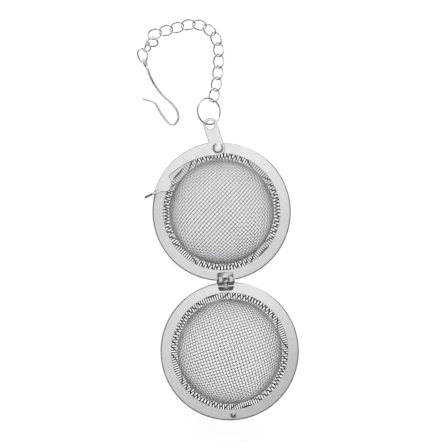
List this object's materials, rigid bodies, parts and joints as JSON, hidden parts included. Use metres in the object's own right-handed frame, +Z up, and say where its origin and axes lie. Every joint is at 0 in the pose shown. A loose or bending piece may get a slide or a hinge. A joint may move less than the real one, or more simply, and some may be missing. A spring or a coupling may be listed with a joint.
{
  "type": "tea infuser",
  "caption": "Wire-mesh ball tea infuser opened flat: two domed mesh halves on a hinge, a swivelling rim latch, and a chain with a cup hook.",
  "frame": {"origin": "on the table, under the middle of the open infuser's footprint with its chain and hook", "axes": "+Y from the hinge line to the latch and chain, +Z up out of the domes, +X to the right seen from above"},
  "size_m": [0.0524, 0.1454, 0.0194],
  "materials": {
    "sheet_steel": "satin",
    "mesh_steel": "woven wire, bright drawn",
    "wire_steel": "bright drawn wire",
    "rivet_steel": "pressed, bright"
  },
  "bodies": {
    "latch_half": {"latch_half_rim": "sheet_steel", "latch_half_mesh": "mesh_steel", "latch_half_leaf": "sheet_steel", "hinge_pin": "wire_steel", "latch_rivet": "rivet_steel"},
    "plain_half": {"plain_half_rim": "sheet_steel", "plain_half_mesh": "mesh_steel", "plain_half_leaf": "sheet_steel"},
    "latch_arm": {"latch_arm": "sheet_steel"},
    "jump_ring": {"jump_ring": "wire_steel"},
    "chain_link_01": {"chain_link_01": "wire_steel"},
    "chain_link_02": {"chain_link_02": "wire_steel"},
    "chain_link_03": {"chain_link_03": "wire_steel"},
    "chain_link_04": {"chain_link_04": "wire_steel"},
    "chain_link_05": {"chain_link_05": "wire_steel"},
    "chain_link_06": {"chain_link_06": "wire_steel"},
    "chain_link_07": {"chain_link_07": "wire_steel"},
    "chain_link_08": {"chain_link_08": "wire_steel"},
    "chain_link_09": {"chain_link_09": "wire_steel"},
    "chain_link_10": {"chain_link_10": "wire_steel"},
    "chain_link_11": {"chain_link_11": "wire_steel"},
    "chain_link_12": {"chain_link_12": "wire_steel"},
    "chain_link_13": {"chain_link_13": "wire_steel"},
    "chain_link_14": {"chain_link_14": "wire_steel"},
    "chain_link_15": {"chain_link_15": "wire_steel"},
    "hook": {"hook": "wire_steel"}
  },
  "joints": [
    {"name": "main_hinge", "type": "hinge", "parent": "latch_half", "child": "plain_half", "pos_m": [0.00125, -0.02259, 0.00162], "axis": [1, 0, 0], "range_deg": [0, 180]},
    {"name": "latch_swing", "type": "hinge", "parent": "latch_half", "child": "latch_arm", "pos_m": [0.00125, 0.02556, 0.00295], "axis": [0, 0, -1], "range_deg": [0, 75]},
    {"name": "ring_swing", "type": "hinge", "parent": "latch_arm", "child": "jump_ring", "pos_m": [-0.00075, 0.03419, 0.00295], "axis": [0.8434, 0.0887, -0.5299], "range_deg": [-60, 45]},
    {"name": "link_01_swing", "type": "hinge", "parent": "jump_ring", "child": "chain_link_01", "pos_m": [0.00052, 0.0431, 0.00158], "axis": [-0.7643, 0.4673, 0.4444], "range_deg": [-30, 30]},
    {"name": "link_02_lift", "type": "hinge", "parent": "chain_link_01", "child": "chain_link_02", "pos_m": [0.00165, 0.04661, 0.00115], "axis": [-0.9833, 0.1822, 0], "range_deg": [-38, 38]},
    {"name": "link_03_bend", "type": "hinge", "parent": "chain_link_02", "child": "chain_link_03", "pos_m": [0.00241, 0.05068, 0.00115], "axis": [0, 0, -1], "range_deg": [-33, 35]},
    {"name": "link_04_lift", "type": "hinge", "parent": "chain_link_03", "child": "chain_link_04", "pos_m": [0.00309, 0.05476, 0.00115], "axis": [0.9945, -0.1045, 0], "range_deg": [-38, 38]},
    {"name": "link_05_bend", "type": "hinge", "parent": "chain_link_04", "child": "chain_link_05", "pos_m": [0.00352, 0.05888, 0.00115], "axis": [0, 0, 1], "range_deg": [-40, 28]},
    {"name": "link_06_lift", "type": "hinge", "parent": "chain_link_05", "child": "chain_link_06", "pos_m": [0.00356, 0.06302, 0.00115], "axis": [-0.9397, -0.342, 0], "range_deg": [-38, 38]},
    {"name": "link_07_bend", "type": "hinge", "parent": "chain_link_06", "child": "chain_link_07", "pos_m": [0.00215, 0.06691, 0.00115], "axis": [0, 0, -1], "range_deg": [-6, 62]},
    {"name": "link_08_lift", "type": "hinge", "parent": "chain_link_07", "child": "chain_link_08", "pos_m": [-0.00093, 0.06968, 0.00115], "axis": [0.284, 0.9588, 0], "range_deg": [-38, 38]},
    {"name": "link_09_bend", "type": "hinge", "parent": "chain_link_08", "child": "chain_link_09", "pos_m": [-0.0049, 0.07085, 0.00115], "axis": [0, 0, 1], "range_deg": [-58, 10]},
    {"name": "link_10_lift", "type": "hinge", "parent": "chain_link_09", "child": "chain_link_10", "pos_m": [-0.00901, 0.07031, 0.00115], "axis": [0.2334, -0.9724, 0], "range_deg": [-38, 38]},
    {"name": "link_11_bend", "type": "hinge", "parent": "chain_link_10", "child": "chain_link_11", "pos_m": [-0.01303, 0.06935, 0.00115], "axis": [0, 0, -1], "range_deg": [-22, 30]},
    {"name": "link_12_lift", "type": "hinge", "parent": "chain_link_11", "child": "chain_link_12", "pos_m": [-0.01702, 0.06815, 0.0013], "axis": [-0.2827, 0.9452, 0.1631], "range_deg": [-20, 20]},
    {"name": "link_13_bend", "type": "hinge", "parent": "chain_link_12", "child": "chain_link_13", "pos_m": [-0.02003, 0.06651, 0.00206], "axis": [0, 0, 1], "range_deg": [-20, 20]},
    {"name": "link_14_lift", "type": "hinge", "parent": "chain_link_13", "child": "chain_link_14", "pos_m": [-0.02161, 0.06435, 0.00154], "axis": [0.5783, 0.615, -0.5361], "range_deg": [-20, 20]},
    {"name": "link_15_bend", "type": "hinge", "parent": "chain_link_14", "child": "chain_link_15", "pos_m": [-0.02279, 0.06193, 0.00111], "axis": [0, 0, -1], "range_deg": [-20, 20]},
    {"name": "hook_swing", "type": "hinge", "parent": "chain_link_15", "child": "hook", "pos_m": [-0.02354, 0.05844, 0.00173], "axis": [0.9593, 0.2823, 0], "range_deg": [-15, 15]}
  ]
}
